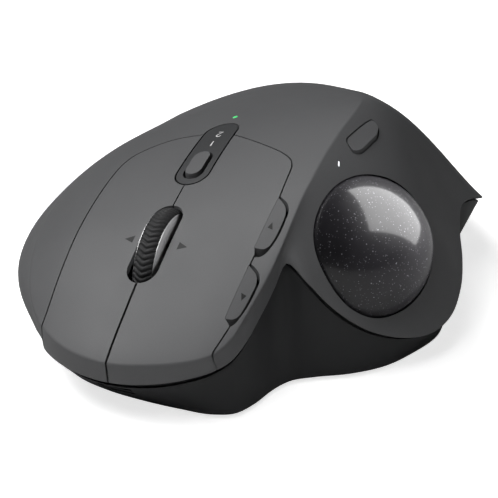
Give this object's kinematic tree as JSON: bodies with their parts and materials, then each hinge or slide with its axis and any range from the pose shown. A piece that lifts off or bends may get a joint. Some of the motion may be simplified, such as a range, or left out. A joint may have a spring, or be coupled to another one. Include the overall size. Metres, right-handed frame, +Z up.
{
  "type": "trackball mouse",
  "caption": "Thumb-operated trackball mouse with two keys, tilting scroll wheel, side keys, status lights and a hinged magnetic plate that leans it for the hand.",
  "frame": {"origin": "on the desk face of the tilt plate pad, under the split between the two keys, level with the ball centre", "axes": "+X towards the thumb side, +Y from the keys to the palm, +Z up"},
  "size_m": [0.1008, 0.1321, 0.0504],
  "materials": {
    "shell": "fine satin texture, dark grey",
    "keys": "fine satin texture, dark grey",
    "casing": "matt black, fine texture",
    "black": "matt black",
    "frame": "plain moulded",
    "ball": "polished, dark with fine pearl flecks",
    "bearing": "polished",
    "steel": "satin",
    "rubber": "matt",
    "board": "circuit board with solder mask",
    "battery": "foil pouch in a clear wrap",
    "green_light": "clear light guide, green",
    "white_light": "clear light guide, white"
  },
  "bodies": {
    "body": {"palm_shell": "shell", "button_bezel": "shell", "connection_light": "green_light", "precision_light": "white_light", "ball_cup": "black", "bearing_ball_1": "bearing", "bearing_ball_2": "bearing", "bearing_ball_3": "bearing", "ball_sensor": "black", "sensor_board": "board", "cradle_bracket_front": "frame", "cradle_bracket_rear": "frame", "wheel_encoder": "black", "left_switch": "black", "right_switch": "black", "middle_switch": "black", "tilt_switch_left": "black", "tilt_switch_right": "black", "forward_switch": "black", "back_switch": "black", "precision_switch": "black", "device_switch": "black", "power_switch": "black", "side_button_bracket": "frame", "side_button_board": "board", "upper_board": "board", "precision_board": "board", "main_board": "board", "battery": "battery", "usb_socket": "steel", "base_casing": "casing", "hinge_pin_front": "steel", "hinge_pin_rear": "steel", "magnet_front": "steel", "magnet_rear": "steel", "casing_screw_1": "steel", "casing_screw_2": "steel", "casing_screw_3": "steel", "casing_screw_4": "steel"},
    "left_key": {"left_button": "keys"},
    "right_key": {"right_button": "keys"},
    "forward_key": {"forward_button": "keys"},
    "back_key": {"back_button": "keys"},
    "device_key": {"device_button": "keys"},
    "precision_key": {"precision_button": "keys"},
    "cradle": {"wheel_cradle": "frame"},
    "carrier": {"wheel_carrier": "frame"},
    "wheel": {"wheel_tyre": "rubber", "wheel_hub": "steel", "wheel_axle": "steel"},
    "ball": {"trackball": "ball"},
    "power": {"power_slider": "black"},
    "stand": {"tilt_plate": "steel", "plate_pad": "rubber"}
  },
  "joints": [
    {"name": "left_click", "type": "hinge", "parent": "body", "child": "left_key", "pos_m": [0, 0.009, 0.0375], "axis": [1, 0, 0], "range_deg": [0, 0.7], "stiffness_Nm_per_rad": 2.2},
    {"name": "right_click", "type": "hinge", "parent": "body", "child": "right_key", "pos_m": [0, 0.009, 0.0375], "axis": [1, 0, 0], "range_deg": [0, 0.7], "stiffness_Nm_per_rad": 2.2},
    {"name": "forward_click", "type": "slide", "parent": "body", "child": "forward_key", "axis": [0, 0, -1], "range_m": [0, 0.0005], "stiffness_N_per_m": 1500},
    {"name": "back_click", "type": "slide", "parent": "body", "child": "back_key", "axis": [0, 0, -1], "range_m": [0, 0.0005], "stiffness_N_per_m": 1500},
    {"name": "device_click", "type": "slide", "parent": "body", "child": "device_key", "axis": [0, 0, -1], "range_m": [0, 0.0005], "stiffness_N_per_m": 1500},
    {"name": "precision_click", "type": "slide", "parent": "body", "child": "precision_key", "axis": [0, 0, -1], "range_m": [0, 0.0004], "stiffness_N_per_m": 1500},
    {"name": "wheel_tilt", "type": "hinge", "parent": "body", "child": "cradle", "pos_m": [0, -0.0211, 0.0176], "axis": [0, 1, 0], "range_deg": [-2.5, 2.5], "stiffness_Nm_per_rad": 0.2},
    {"name": "wheel_press", "type": "slide", "parent": "cradle", "child": "carrier", "axis": [0, 0.3899, -0.9209], "range_m": [0, 0.0005], "stiffness_N_per_m": 2000},
    {"name": "wheel_spin", "type": "hinge", "parent": "carrier", "child": "wheel", "pos_m": [0, -0.0211, 0.0242], "axis": [1, 0, 0], "continuous": true},
    {"name": "ball_roll", "type": "hinge", "parent": "body", "child": "ball", "pos_m": [0.039, 0, 0.025], "axis": [0.4162, 0.9093, 0], "continuous": true},
    {"name": "power_slide", "type": "slide", "parent": "body", "child": "power", "axis": [1, 0, 0], "range_m": [0, 0.0025]},
    {"name": "stand_tilt", "type": "hinge", "parent": "body", "child": "stand", "pos_m": [-0.0186, 0, 0.0017], "axis": [0, 1, 0], "range_deg": [0, 20]}
  ]
}
